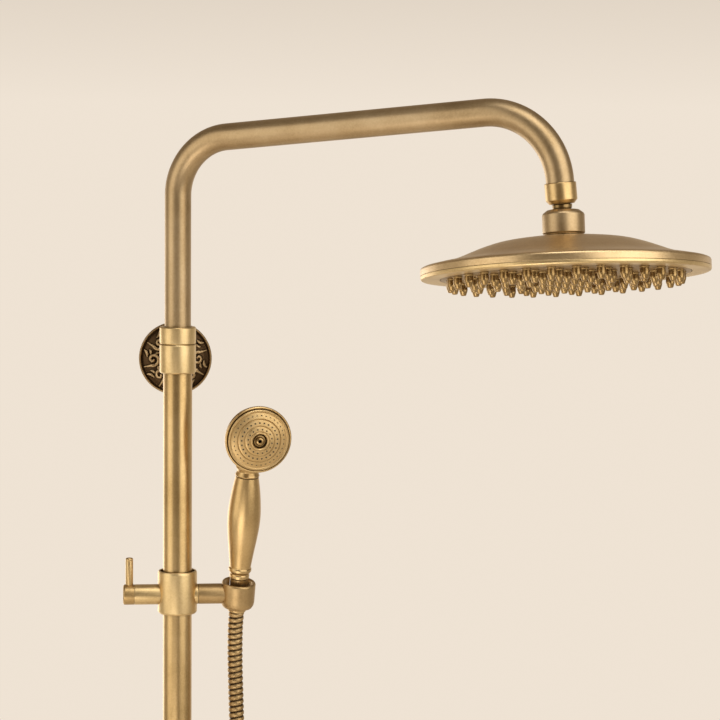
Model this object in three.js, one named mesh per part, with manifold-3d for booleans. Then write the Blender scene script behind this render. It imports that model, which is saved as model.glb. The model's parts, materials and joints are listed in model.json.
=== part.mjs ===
// Rainfall shower column in antique brass: swan-neck arm with a rain head, slider with a hand shower,
// hose and an exposed two-handle mixer. Millimetres, +X right, +Y into the wall, +Z up.
// The wall is the plane y = 0 and the origin is the middle of the upper wall base's back face.
import * as THREE from "three";
import { mergeVertices } from "three/addons/utils/BufferGeometryUtils.js";
import Module from "manifold-3d";

const wasm = await Module();
wasm.setup();

// Driving dimensions
const RISER_Y = -60; // riser axis to wall
const ARM_R = 10; // telescopic swan-neck tube
const ARM_BORE_R = 8.8;
const RISER_R = 11; // lower tube
const RISER_BORE_R = 10.25;
const RISER_TOP_Z = 20;
const RISER_FOOT_Z = -964;
const ARM_FOOT_Z = -250; // the arm tube's end inside the lower tube
const ARM_TURN_DEG = -30; // direction of the arm seen from above, from +X
const ARM_CORNER_1 = [0, 169.3]; // reach and height of the first bend's corner
const ARM_CORNER_2 = [298.1, 195.6];
const BEND_1_R = 45;
const BEND_2_R = 53;
const LEG_LEAN_DEG = 6.2; // the arm's end leans outwards
const LEG_END = 65; // corner 2 to the tube's end, along the leg
const FERRULE = [53.8, 68.8]; // along the leg
const BALL_AT = 81.3; // along the leg
const BALL_R = 9.3;
const HEAD_AXIS = new THREE.Vector3(-0.025, 0.139, 0.99).normalize();
const HEAD_R = 102;
const HEAD_TO_BALL = 34.3; // rim's middle plane to the ball's centre
const NOZZLE_RINGS = 5;
const NOZZLE_PITCH = 16.2;
const NOZZLE_TIP = -12.2;
const COLLAR_Z = [-6, 16];
const SLIDER_Z = [-191, -158];
const BARREL_Z = -176.5;
const BARREL_R = 7.75;
const CUP_X = 46.5;
const CUP_R = 13;
const HANDSET_AXIS = new THREE.Vector3(0.06, -0.178, 0.982).normalize();
const FACE_AT = new THREE.Vector3(59.5, -96, -53.5);
const FACE_NORMAL = new THREE.Vector3(0.165, -0.978, -0.115).normalize();
const HOSE_R = 6;
const MIXER_Z = -1000;
const MIXER_R = 18;
const INLET_X = 75; // half of the 150 mm between the wall inlets
const FLANGE_R = 30;

const Z_UP = new THREE.Vector3(0, 0, 1);
const X_RIGHT = new THREE.Vector3(1, 0, 0);
const OUT = new THREE.Vector3(0, -1, 0); // out of the wall, towards the room
const v3 = (x, y, z) => new THREE.Vector3(x, y, z);

const colours = {
  antique_brass: [0xb08d4f, 0.9, 0.38],
  polished_brass: [0xd9b25f, 1, 0.22],
  hose_brass: [0xa98545, 0.9, 0.35],
  rubber_black: [0x1c1b1a, 0, 0.8],
  nylon_white: [0xd8d4c8, 0, 0.6],
  glazed_ceramic: [0xf2eee4, 0, 0.15],
  steel: [0xa9a9a6, 1, 0.35],
};
const group = new THREE.Group();
group.name = "rainfall_shower_column";

// Adds one sub-part, with a material of its own
function add(name, slot, geometry) {
  const [color, metalness, roughness] = colours[slot];
  const material = new THREE.MeshStandardMaterial({ color, metalness, roughness });
  material.name = slot;
  const mesh = new THREE.Mesh(geometry, material);
  mesh.name = name;
  group.add(mesh);
}

// Welds a geometry into one closed body with its faces turned outwards
function closed(geometry) {
  const bare = geometry.clone();
  bare.deleteAttribute("normal");
  bare.deleteAttribute("uv");
  const welded = mergeVertices(bare, 1e-4);
  const p = welded.attributes.position;
  const at = (i) => v3().fromBufferAttribute(p, i);
  const kept = [];
  let volume = 0;
  for (let t = 0; t < welded.index.count; t += 3) {
    const [a, b, c] = [0, 1, 2].map((k) => welded.index.getX(t + k));
    if (a === b || b === c || c === a) continue;
    kept.push([a, b, c]);
    volume += at(a).dot(at(b).cross(at(c)));
  }
  welded.setIndex(kept.map((f) => (volume < 0 ? f.reverse() : f)).flat());
  return welded;
}

const toSolid = (g) =>
  new wasm.Manifold(
    new wasm.Mesh({
      numProp: 3,
      vertProperties: Float32Array.from(g.attributes.position.array),
      triVerts: Uint32Array.from(g.index.array),
    }),
  );

function fromSolid(solid) {
  const m = solid.getMesh();
  const g = new THREE.BufferGeometry();
  g.setAttribute("position", new THREE.BufferAttribute(Float32Array.from(m.vertProperties), 3));
  g.setIndex(Array.from(m.triVerts));
  return closed(g);
}
const union = (...parts) => fromSolid(parts.map(toSolid).reduce((a, b) => a.add(b)));
const cut = (body, ...tools) => fromSolid(tools.map(toSolid).reduce((a, b) => a.subtract(b), toSolid(body)));
const common = (a, b) => fromSolid(toSolid(a).intersect(toSolid(b)));

// Stands a shape made along +Z on another axis, at a place
function stand(geometry, place, axis = Z_UP) {
  const turn = new THREE.Quaternion().setFromUnitVectors(Z_UP, axis);
  return geometry.clone().applyQuaternion(turn).translate(place.x, place.y, place.z);
}

// A turned solid about +Z from [radius, height] points that start and end on the axis
function turned(profile, sides = 20) {
  const points = profile.map(([r, z]) => new THREE.Vector2(r, z));
  return closed(new THREE.LatheGeometry(points, sides).rotateX(Math.PI / 2));
}
// A turned ring: its profile goes round a section that's clear of the axis
const ring = (profile, sides = 20) => turned([...profile, profile[0]], sides);
const rod = (r, z0, z1, sides = 20) => turned([[0, z0], [r, z0], [r, z1], [0, z1]], sides);
const hexagon = (r, z0, z1) => rod(r, z0, z1, 6);

// A tube of round section along points, open from end to end
function tubeAlong(points, outer, inner, sides) {
  const last = points.length - 1;
  const tangents = points.map((p, i) =>
    points[Math.min(i + 1, last)].clone().sub(points[Math.max(i - 1, 0)]).normalize(),
  );
  let side = v3(0, 1, 0);
  const position = [];
  points.forEach((p, i) => {
    side = side.clone().addScaledVector(tangents[i], -side.dot(tangents[i])).normalize();
    const up = tangents[i].clone().cross(side);
    for (const r of [outer, inner])
      for (let k = 0; k < sides; k++) {
        const a = (2 * Math.PI * k) / sides;
        const q = p.clone().addScaledVector(side, r * Math.cos(a)).addScaledVector(up, r * Math.sin(a));
        position.push(q.x, q.y, q.z);
      }
  });
  const row = 2 * sides;
  const index = [];
  const quad = (a, b, c, d) => index.push(a, b, c, a, c, d);
  for (let k = 0; k < sides; k++) {
    const n = (k + 1) % sides;
    for (let i = 0; i < last; i++) {
      const [low, high] = [i * row, (i + 1) * row];
      quad(low + k, low + n, high + n, high + k);
      quad(low + sides + n, low + sides + k, high + sides + k, high + sides + n);
    }
    quad(sides + k, sides + n, n, k);
    quad(last * row + k, last * row + n, last * row + sides + n, last * row + sides + k);
  }
  const g = new THREE.BufferGeometry();
  g.setAttribute("position", new THREE.BufferAttribute(Float32Array.from(position), 3));
  g.setIndex(index);
  return closed(g);
}

// ---- Upper wall bracket ----
const WALL = v3(0, 0, 0);
const RISER = v3(0, RISER_Y, 0);
const baseHoles = [-15, 15].map((x) => stand(rod(2.4, -1, 6, 12), v3(x, 0, 0), OUT));
const baseDisc = turned([[0, 0], [22, 0], [22, 4], [4.4, 4], [4.4, 1], [0, 1]]);
add("upper_wall_base", "steel", cut(stand(baseDisc, WALL, OUT), ...baseHoles));
for (const [name, x] of [["wall_screw_left", -15], ["wall_screw_right", 15]]) {
  const screw = turned([[0, 0.2], [2, 0.2], [2, 4.3], [3.9, 4.3], [3.6, 5.6], [0, 6.2]], 12);
  add(name, "steel", stand(screw, v3(x, 0, 0), OUT));
}
const rosettePlate = ring(
  [
    [22.5, 0.2], [28.5, 0.2], [28.5, 3.6], [27, 5.1], [25.6, 3.7], [24.6, 3.7], [23.8, 5.6], [18, 7.7],
    [7.6, 8.8], [7.6, 6.8], [19.5, 6.8], [22.5, 4.4],
  ],
  28,
);
const leaves = [];
for (let k = 0; k < 8; k++) {
  const leaf = closed(new THREE.SphereGeometry(1, 6, 4).rotateX(Math.PI / 2)).scale(5, 1.9, 1.1);
  leaves.push(leaf.rotateZ(0.7).translate(17, 0, 7.9).rotateZ((k * Math.PI) / 4));
}
add("bracket_rosette", "antique_brass", stand(union(rosettePlate, ...leaves), WALL, OUT));
const bracketArm = turned([
  [0, 1.4], [4, 1.4], [4, 4.3], [7, 4.3], [7, 9.4], [9, 10.2], [9, 12.2], [7, 13.4], [7, 52], [0, 52],
]);
const collarRoom = stand(rod(14.05, -12, 22, 32), RISER);
add("bracket_arm", "antique_brass", cut(stand(bracketArm, WALL, OUT), collarRoom));
const [c0, c1] = COLLAR_Z;
const collarProfile = [
  [11.35, c0], [13, c0], [13.75, c0 + 0.8], [13.75, c1 - 0.7], [13.2, c1], [12.6, c1], [12.6, c1 + 5],
  [11.35, c1 + 5],
];
add("bracket_collar", "antique_brass", stand(ring(collarProfile, 24), RISER));
const collarNutProfile = [
  [12.95, c1 + 0.3], [13.3, c1 + 0.3], [13.75, c1 + 0.9], [13.75, c1 + 12.4], [13, c1 + 13.2],
  [10.6, c1 + 13.2], [10.6, c1 + 10], [12.95, c1 + 10],
];
add("collar_nut", "antique_brass", stand(ring(collarNutProfile, 24), RISER));
add("clamp_ring", "nylon_white", stand(ring([[10.35, 21.6], [12.5, 21.6], [12.5, 25.6], [10.35, 25.6]]), RISER));
const lowerTube = [
  [RISER_BORE_R, RISER_FOOT_Z], [RISER_R, RISER_FOOT_Z], [RISER_R, RISER_TOP_Z], [RISER_BORE_R, RISER_TOP_Z],
];
add("lower_riser_tube", "antique_brass", stand(ring(lowerTube, 24), RISER));

// ---- Telescopic swan-neck arm ----
const turnRad = THREE.MathUtils.degToRad(ARM_TURN_DEG);
const REACH = v3(Math.cos(turnRad), Math.sin(turnRad), 0);
const inPlane = (reach, z) => RISER.clone().addScaledVector(REACH, reach).setZ(z);
const armRise = Math.atan2(ARM_CORNER_2[1] - ARM_CORNER_1[1], ARM_CORNER_2[0] - ARM_CORNER_1[0]);
const legLean = THREE.MathUtils.degToRad(LEG_LEAN_DEG);
const armAlong = REACH.clone().multiplyScalar(Math.cos(armRise)).setZ(Math.sin(armRise));
const LEG = REACH.clone().multiplyScalar(Math.sin(legLean)).setZ(-Math.cos(legLean));

// The points of a round bend at a corner, from one direction to another
function bend(corner, from, to, radius, steps) {
  const angle = from.angleTo(to);
  const start = corner.clone().addScaledVector(from, -radius * Math.tan(angle / 2));
  const inwards = to.clone().addScaledVector(from, -to.dot(from)).normalize();
  const centre = start.clone().addScaledVector(inwards, radius);
  return Array.from({ length: steps + 1 }, (_, i) => {
    const a = (angle * i) / steps;
    return centre
      .clone()
      .addScaledVector(inwards, -radius * Math.cos(a))
      .addScaledVector(from, radius * Math.sin(a));
  });
}
const corner1 = inPlane(...ARM_CORNER_1);
const corner2 = inPlane(...ARM_CORNER_2);
const onLeg = (t) => corner2.clone().addScaledVector(LEG, t);
const armPath = [
  inPlane(0, ARM_FOOT_Z),
  ...bend(corner1, Z_UP, armAlong, BEND_1_R, 8),
  ...bend(corner2, armAlong, LEG, BEND_2_R, 9),
  onLeg(LEG_END),
];
add("arm_tube", "antique_brass", tubeAlong(armPath, ARM_R, ARM_BORE_R, 16));
const guide = ring([[7, ARM_FOOT_Z - 13], [9.9, ARM_FOOT_Z - 13], [9.9, ARM_FOOT_Z - 0.4], [7, ARM_FOOT_Z - 0.4]]);
add("arm_guide_ring", "nylon_white", stand(guide, RISER));
const LEG_UP = LEG.clone().negate();
const BALL = onLeg(BALL_AT);
const ferruleLow = BALL_AT - FERRULE[1];
const ferruleHigh = BALL_AT - FERRULE[0];
const ferrule = ring([
  [6.4, ferruleLow], [8.8, ferruleLow], [11.2, ferruleLow + 2.8],
  [11.2, ferruleHigh - 0.5], [10.8, ferruleHigh], [10.3, ferruleHigh], [10.3, ferruleLow + 3.4],
  [6.4, ferruleLow + 3.4],
]);
add("arm_ferrule", "antique_brass", stand(ferrule, BALL, LEG_UP));
const ballArc = [-70, -46, -22, 0, 22, 40, 56].map((deg) => {
  const a = THREE.MathUtils.degToRad(deg);
  return [BALL_R * Math.cos(a), BALL_R * Math.sin(a)];
});
const ball = ring([[3, -8.74], ...ballArc, [5.2, 8.4], [6.9, 9.4], [7.2, 12.2], [6, 12.2], [6, 25], [3, 25]], 20);
add("swivel_ball", "polished_brass", stand(ball, BALL, LEG_UP));

// ---- Rain head, on its own leaning axis ----
const HEAD = BALL.clone().addScaledVector(HEAD_AXIS, -HEAD_TO_BALL);
const onHead = (geometry) => stand(geometry, HEAD, HEAD_AXIS);
const seat = ring([[3.56, 24.53], [5.97, 25.78], [7.97, 27.61], [7.39, 28.1], [5.54, 26.4], [3.3, 25.23]], 20);
add("swivel_seat_washer", "rubber_black", onHead(seat));
const friction = ring([[9.72, 34.9], [10.2, 34.9], [10.2, 38.4], [8.85, 38.4], [9.4, 36.6]], 20);
add("swivel_friction_ring", "nylon_white", onHead(friction));
const swivelNut = ring([
  [10.65, 24.4], [14, 24.4], [15, 25.3], [15, 39], [14.3, 40.2], [11.4, 42.4], [10.3, 42.4],
  [9.3, 38.8], [10.65, 38.8],
]);
add("swivel_nut", "antique_brass", onHead(swivelNut));
const dome = ring(
  [
    [10.25, 27], [10.25, 24], [20, 23.6], [33, 22.3], [47, 20.2], [58, 17.1], [68, 13.4], [76, 10.3],
    [83, 8.2], [99.6, 4.9], [101.5, 4.1], [HEAD_R, 3], [HEAD_R, -0.9], [100.2, -0.9], [100.2, 3.3],
    [83, 6.6], [69.5, 11.5], [46.5, 18.6], [20, 22], [7.6, 22.2], [7.6, 27],
  ],
  36,
);
add("head_dome", "antique_brass", onHead(dome));
const rim = ring(
  [[88.4, -1.3], [HEAD_R, -1.3], [HEAD_R, -3], [101.6, -3.8], [100.8, -4.2], [88.4, -4.2]],
  36,
);
add("head_rim_ring", "antique_brass", onHead(rim));
add("head_gasket", "rubber_black", onHead(ring([[83, -0.9], [94, -0.9], [94, -0.1], [83, -0.1]], 24)));
const nozzles = [];
for (let k = 0; k <= NOZZLE_RINGS; k++)
  for (let i = 0; i < Math.max(1, 6 * k); i++) {
    const a = (2 * Math.PI * i) / Math.max(1, 6 * k);
    const nozzle = turned([[0, -3], [3.3, -3], [2.5, NOZZLE_TIP], [0, NOZZLE_TIP]], 5);
    nozzles.push(nozzle.translate(k * NOZZLE_PITCH * Math.cos(a), k * NOZZLE_PITCH * Math.sin(a), 0));
  }
add("nozzle_plate", "polished_brass", onHead(union(rod(88, -4.2, -1.3, 36), ...nozzles)));

// ---- Slider with its lock and holder ----
const [s0, s1] = SLIDER_Z;
const BARREL = v3(0, RISER_Y, BARREL_Z);
const bush = ring([[11.25, s0 + 2], [12.05, s0 + 2], [12.05, s1 - 6], [11.25, s1 - 6]]);
add("slider_bush", "nylon_white", stand(bush, RISER));
const sliderOuter = stand(
  turned([
    [0, s0], [13.6, s0], [14.7, s0 + 0.7], [15, s0 + 2], [15, s1 - 2], [14.7, s1 - 0.7], [13.6, s1], [0, s1],
  ]),
  RISER,
);
const slider = cut(
  union(sliderOuter, stand(rod(BARREL_R, -32.9, 15.9), BARREL, X_RIGHT)),
  stand(rod(12.4, s0 - 1, s1 + 1), RISER),
  stand(rod(2.9, -40, -8, 12), BARREL, X_RIGHT),
  stand(rod(2.9, 13.2, 30, 12), BARREL, X_RIGHT),
);
add("slider_collar", "antique_brass", slider);
add("lock_spindle", "steel", stand(rod(2.5, -36.6, -12.4, 12), BARREL, X_RIGHT));
const PIN = v3(-36.7, RISER_Y, BARREL_Z);
const cap = stand(
  turned([
    [0, -41.5], [5.6, -41.5], [7.1, -40.9], [BARREL_R, -39.4], [BARREL_R, -33.8], [7.2, -33.2], [0, -33.2],
  ]),
  BARREL,
  X_RIGHT,
);
const capHoles = [stand(rod(2.8, -37, -30, 12), BARREL, X_RIGHT), stand(rod(2.1, 3.3, 12, 12), PIN)];
add("lock_cap", "antique_brass", cut(cap, ...capHoles));
const pin = turned(
  [
    [0, 3.6], [1.8, 3.6], [1.8, 8.1], [2.9, 8.1], [2.9, 27.4], [2.3, 28.4], [0, 28.6],
  ],
  12,
);
add("lock_lever_pin", "antique_brass", stand(pin, PIN));
add("holder_washer", "rubber_black", stand(ring([[2.9, 16.1], [7.2, 16.1], [7.2, 16.7], [2.9, 16.7]]), BARREL, X_RIGHT));
add("holder_screw", "steel", stand(rod(2.5, 13.4, 26.5, 12), BARREL, X_RIGHT));
const CUP = v3(CUP_X, RISER_Y, BARREL_Z);
const onCup = (geometry) => stand(geometry, CUP, HANDSET_AXIS);
const cupOuter = onCup(
  turned([[0, -11.6], [8.4, -11.6], [11.2, -10.4], [12.6, -8.2], [CUP_R, -5.6], [CUP_R, 8.6], [12.4, 9.5], [0, 9.5]]),
);
const cupRoom = onCup(turned([[0, -16], [7.7, -16], [7.7, -11], [10.2, -3], [10.4, 12], [0, 12]]));
const slot = onCup(closed(new THREE.BoxGeometry(12.8, 30, 60).translate(0, 15, 0)));
const holderArm = stand(rod(BARREL_R, 16.9, 40), BARREL, X_RIGHT);
const armBore = stand(rod(2.9, 14, 27, 12), BARREL, X_RIGHT);
add("holder_cup", "antique_brass", cut(union(cupOuter, holderArm), cupRoom, slot, armBore));

// ---- Hand shower ----
const coneNut = ring([
  [6.35, -14.2], [6.9, -14.2], [7.2, -10.6], [9.7, -2.6], [9.7, 3.2], [9, 4], [5.75, 4], [5.75, -9],
  [3.4, -9], [3.4, -12], [6.35, -12],
]);
add("hose_cone_nut", "antique_brass", onCup(coneNut));
const handle = ring([
  [2.8, -8.6], [5.3, -8.6], [5.3, 5], [6.7, 5.6], [6.9, 12.4], [7.6, 13.8], [7.6, 16], [8.8, 19.4],
  [8.8, 21.2], [8.1, 22.3], [9.4, 33], [11.3, 46], [12.4, 57], [12.5, 65], [11.1, 80], [8.6, 94.7], [5.6, 94.7], [5.6, 101], [2.8, 101],
]);
add("handset_handle", "antique_brass", onCup(handle));
const neckRing = ring([
  [5.95, 95], [8.6, 95], [9.3, 96.2], [8.2, 98.8], [8.2, 100], [9.2, 102.2], [8.6, 103.2], [5.95, 103.2],
]);
add("handset_neck_ring", "antique_brass", onCup(neckRing));
// The head's profiles run along its normal: heights are in front of the face plane
const onFace = (geometry) => stand(geometry, FACE_AT, FACE_NORMAL);
const shellOuter = onFace(
  turned([
    [0, -23.5], [7, -22.9], [13.6, -20.6], [19.2, -16.6], [22.6, -12], [24.2, -8], [25.5, -2.5], [25.5, -0.6],
    [24.8, 0], [0, 0],
  ], 28),
);
const shellRoom = onFace(
  turned([
    [0, -21.3], [13, -18.4], [18, -14.6], [21.2, -9.6], [22.2, -3.2], [23.9, -3.2], [23.9, 1], [0, 1],
  ], 28),
);
const shell = cut(union(shellOuter, onCup(rod(7.6, 103.7, 118))), shellRoom);
add("handset_shell", "antique_brass", shell);
const face = ring(
  [
    [5.2, -2.6], [23.5, -2.6], [23.5, 0.6], [22.4, 1.5], [21, 0.7], [16.6, 2.1], [16, 2.9], [11.6, 3.7],
    [11, 4.4], [7.4, 5], [6.4, 5.6], [5.2, 5.4],
  ],
  28,
);
add("handset_face", "antique_brass", onFace(face));
add("centre_jet", "polished_brass", onFace(ring([[1, -2.4], [4.8, -2.4], [4.8, 2.8], [2.6, 4.6], [1, 4.6]], 16)));

// ---- Mixer on two wall inlets ----
const MIXER = v3(0, RISER_Y, MIXER_Z);
const barBody = stand(
  turned([
    [0, -92], [16.6, -92], [MIXER_R, -90.4], [MIXER_R, 90.4], [16.6, 92], [0, 92],
  ]),
  MIXER,
  X_RIGHT,
);
const topBoss = stand(turned([[0, 0], [16, 0], [16, 22], [13, 22], [13, 34], [0, 34]]), MIXER);
const footBoss = stand(turned([[0, -27], [11.4, -27], [12, -26], [13.5, -16], [13.5, 0], [0, 0]]), MIXER);
const frontBoss = stand(rod(15, 0, 26), MIXER, OUT);
const inlets = [-INLET_X, INLET_X].map((x) => stand(rod(13, 0, 24), v3(x, RISER_Y, MIXER_Z), v3(0, 1, 0)));
const mixerBores = [
  stand(rod(11.4, 68, 100), MIXER, X_RIGHT),
  stand(rod(11.4, -100, -68), MIXER, X_RIGHT),
  stand(rod(11, 10, 30), MIXER, OUT),
  stand(rod(7, -30, -8), MIXER),
  stand(rod(8, 8, 40), MIXER),
  ...[-INLET_X, INLET_X].map((x) => stand(rod(8, 4, 30), v3(x, RISER_Y, MIXER_Z), v3(0, 1, 0))),
];
add("mixer_body", "antique_brass", cut(union(barBody, topBoss, footBoss, frontBoss, ...inlets), ...mixerBores));
const riserNut = common(
  ring([[13.4, 22.6], [20, 22.6], [20, 52], [11.45, 52], [11.45, 35.6], [13.4, 35.6]]),
  hexagon(18.4, 22.6, 52),
);
add("riser_union_nut", "antique_brass", stand(riserNut, MIXER));
for (const [side, sign] of [["hot", -1], ["cold", 1]]) {
  const inlet = v3(sign * INLET_X, 0, MIXER_Z);
  const outwards = v3(sign, 0, 0);
  const nut = common(
    ring([[11.25, 22], [20, 22], [20, 41.5], [13.4, 41.5], [13.4, 35.6], [11.25, 35.6]]),
    hexagon(18.4, 22, 41.5),
  );
  add(`inlet_union_nut_${side}`, "antique_brass", stand(nut, inlet, OUT));
  const coupling = ring([[6.5, 0.3], [10.8, 0.3], [10.8, 35.2], [6.5, 35.2]]);
  add(`inlet_coupling_${side}`, "antique_brass", stand(coupling, inlet, OUT));
  const flange = ring(
    [[11.25, 0], [FLANGE_R, 0], [FLANGE_R, 2.4], [27.5, 4.6], [21, 7.2], [15, 11], [14, 13], [11.25, 13]],
    24,
  );
  add(`inlet_flange_${side}`, "antique_brass", stand(flange, inlet, OUT));
  const bonnet = ring([
    [6.3, 72], [11, 72], [11, 92.4], [15.6, 92.4], [15.6, 95], [12, 98.5], [11, 103.8], [6.3, 103.8],
  ]);
  add(`bonnet_${side}`, "antique_brass", stand(bonnet, MIXER, outwards));
  add(`spindle_${side}`, "polished_brass", stand(rod(5.8, 74, 117, 12), MIXER, outwards));
  const hub = turned([[0, 104.3], [9.5, 104.3], [12.5, 108], [12.5, 124], [10.6, 128], [0, 128]], 16);
  const spoke = turned(
    [[0, 0], [4.6, 0], [3.6, 16], [3.6, 25], [6.1, 29], [5.4, 33.6], [0, 35.8]],
    8,
  );
  const spokes = [0, 1, 2, 3].map((k) =>
    stand(spoke, v3(0, 0, 116), v3(Math.cos((k * Math.PI) / 2), Math.sin((k * Math.PI) / 2), 0)),
  );
  const handleBore = rod(6.15, 100, 117.5, 12);
  const seatBore = rod(8.4, 126.4, 130, 16);
  const cross = cut(union(hub, ...spokes), handleBore, seatBore);
  add(`handle_${side}`, "antique_brass", stand(cross, MIXER, outwards));
  const button = turned([[0, 126.8], [8, 126.8], [8, 128.6], [6.4, 129.8], [3.2, 130.5], [0, 130.8]], 16);
  add(`index_button_${side}`, "glazed_ceramic", stand(button, MIXER, outwards));
}
const diverterBonnet = ring([
  [5.4, 12.4], [10.6, 12.4], [10.6, 26.4], [14.4, 26.4], [14.4, 29], [10.6, 32], [10, 35.4], [5.4, 35.4],
]);
add("diverter_bonnet", "antique_brass", stand(diverterBonnet, MIXER, OUT));
add("diverter_spindle", "polished_brass", stand(rod(5, 14, 47, 16), MIXER, OUT));
const diverterKnob = cut(
  union(
    turned([[0, 35.9], [8.6, 35.9], [11, 38], [12.6, 42], [12.6, 50], [11, 53.6], [6, 55.4], [0, 55.8]]),
    stand(
      turned([[0, 0], [3.6, 0], [3, 16], [3, 22], [4.6, 24.5], [4.6, 28], [2.6, 30], [0, 30.4]], 12),
      v3(0, 0, 46),
      v3(0, 1, 0),
    ),
  ),
  rod(5.35, 30, 47.5, 16),
);
add("diverter_knob", "antique_brass", stand(diverterKnob, MIXER, OUT));
const nipple = ring([
  [4.5, -48], [9.6, -48], [9.6, -32], [12.4, -31], [12.4, -27.3], [6.6, -27.3], [6.6, -18], [4.5, -18],
]);
add("hose_outlet_nipple", "antique_brass", stand(nipple, MIXER));
const hoseNut = ring([
  [6.35, -66], [7.4, -66], [8, -56], [12.4, -50], [12.4, -34.2], [11.8, -33.4], [10, -33.4], [10, -48.6],
  [3.6, -48.6], [3.6, -53], [6.35, -53],
]);
add("hose_nut_bottom", "antique_brass", stand(hoseNut, MIXER));

// ---- Hose ----
const LOOP = v3(39, -92, -1290.2); // centre of the loop that hangs under the mixer
const LOOP_R = 50.4;
const LOOP_SIDE = v3(39, -32, 0).normalize();
const loopPoints = Array.from({ length: 13 }, (_, i) => {
  const a = (Math.PI * i) / 12;
  return LOOP.clone().addScaledVector(LOOP_SIDE, LOOP_R * Math.cos(a)).add(v3(0, 0, -LOOP_R * Math.sin(a)));
});
const hosePoints = [
  CUP.clone().addScaledVector(HANDSET_AXIS, -12.6),
  CUP.clone().addScaledVector(HANDSET_AXIS, -27),
  v3(44.8, -53, -230),
  v3(45.7, -53, -262),
  v3(47.5, -56.5, -330),
  v3(51, -68, -460),
  v3(57, -84, -630),
  v3(64, -99, -800),
  v3(70, -111, -960),
  v3(75, -119, -1120),
  v3(77.3, -122.6, -1210),
  v3(78, -123.8, -1262),
  ...loopPoints,
  v3(0, RISER_Y, -1262),
  v3(0, RISER_Y, -1210),
  v3(0, RISER_Y, -1120),
  MIXER.clone().add(v3(0, 0, -53.6)),
];
const hoseLine = new THREE.CatmullRomCurve3(hosePoints, false, "centripetal");
const hoseSection = new THREE.Shape(
  Array.from({ length: 8 }, (_, i) => {
    const a = (Math.PI * i) / 4;
    return new THREE.Vector2(HOSE_R * Math.cos(a), HOSE_R * Math.sin(a));
  }),
);
const hose = new THREE.ExtrudeGeometry(hoseSection, {
  steps: 60,
  bevelEnabled: false,
  extrudePath: hoseLine,
});
add("hose", "hose_brass", closed(hose));

export default group;
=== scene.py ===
import json
import math

import bmesh
import bpy
import numpy as np
from mathutils import Matrix, Vector


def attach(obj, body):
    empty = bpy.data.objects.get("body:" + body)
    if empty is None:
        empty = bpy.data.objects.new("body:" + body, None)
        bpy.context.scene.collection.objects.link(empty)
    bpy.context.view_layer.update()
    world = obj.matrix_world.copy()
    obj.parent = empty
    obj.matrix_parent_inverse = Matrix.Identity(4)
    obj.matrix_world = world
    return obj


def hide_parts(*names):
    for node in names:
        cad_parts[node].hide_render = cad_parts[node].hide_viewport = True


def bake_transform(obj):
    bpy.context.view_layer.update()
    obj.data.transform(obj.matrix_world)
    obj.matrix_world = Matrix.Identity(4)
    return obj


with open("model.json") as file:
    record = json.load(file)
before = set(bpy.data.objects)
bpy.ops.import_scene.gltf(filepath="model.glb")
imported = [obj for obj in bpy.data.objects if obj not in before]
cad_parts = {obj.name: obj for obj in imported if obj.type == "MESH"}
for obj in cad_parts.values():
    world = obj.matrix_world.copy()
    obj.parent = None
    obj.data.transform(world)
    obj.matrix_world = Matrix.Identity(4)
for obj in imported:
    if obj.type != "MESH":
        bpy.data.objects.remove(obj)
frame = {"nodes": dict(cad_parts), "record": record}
MM = 0.001

# ---------------------------------------------------------------- camera
CAMERA_AT = Vector((-58.2, -1844.5, 162.8))
LENS_MM = 117.5
yaw, pitch, roll = (math.radians(a) for a in (6.32, -5.07, 0.48))
forward = Vector((math.sin(yaw) * math.cos(pitch), math.cos(yaw) * math.cos(pitch), math.sin(pitch)))
level = Vector((math.cos(yaw), -math.sin(yaw), 0))
upright = level.cross(forward)
right = level * math.cos(roll) + upright * math.sin(roll)
up = upright * math.cos(roll) - level * math.sin(roll)
camera = bpy.data.objects.new("camera", bpy.data.cameras.new("camera"))
bpy.context.scene.collection.objects.link(camera)
camera.data.lens = LENS_MM
camera.data.sensor_width = 36
turn = Matrix((right, up, -forward)).transposed().to_4x4()
camera.matrix_world = Matrix.Translation(CAMERA_AT * MM) @ turn
bpy.context.scene.camera = camera
bpy.context.scene.view_settings.view_transform = "Standard"

# ---------------------------------------------------------------- places, in mm
RISER = Vector((0, -60, 0))
BARREL = Vector((0, -60, -176.5))
CUP = Vector((46.5, -60, -176.5))
MIXER = Vector((0, -60, -1000))
Z_UP = Vector((0, 0, 1))
X_RIGHT = Vector((1, 0, 0))
OUT = Vector((0, -1, 0))
HANDSET_AXIS = Vector((0.06, -0.178, 0.982)).normalized()
HEAD_AXIS = Vector((-0.025, 0.139, 0.99)).normalized()
FACE_AT = Vector((59.5, -96, -53.5))
FACE_NORMAL = Vector((0.165, -0.978, -0.115)).normalized()
ARM_TURN = math.radians(-30)
LEG_LEAN = math.radians(6.2)
REACH = Vector((math.cos(ARM_TURN), math.sin(ARM_TURN), 0))


def in_plane(reach, z):
    p = RISER + REACH * reach
    return Vector((p.x, p.y, z))


CORNER_1 = in_plane(0, 169.3)
CORNER_2 = in_plane(298.1, 195.6)
LEG = REACH * math.sin(LEG_LEAN) - Z_UP * math.cos(LEG_LEAN)
BALL = CORNER_2 + LEG * 81.3
HEAD = BALL - HEAD_AXIS * 34.3


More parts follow.
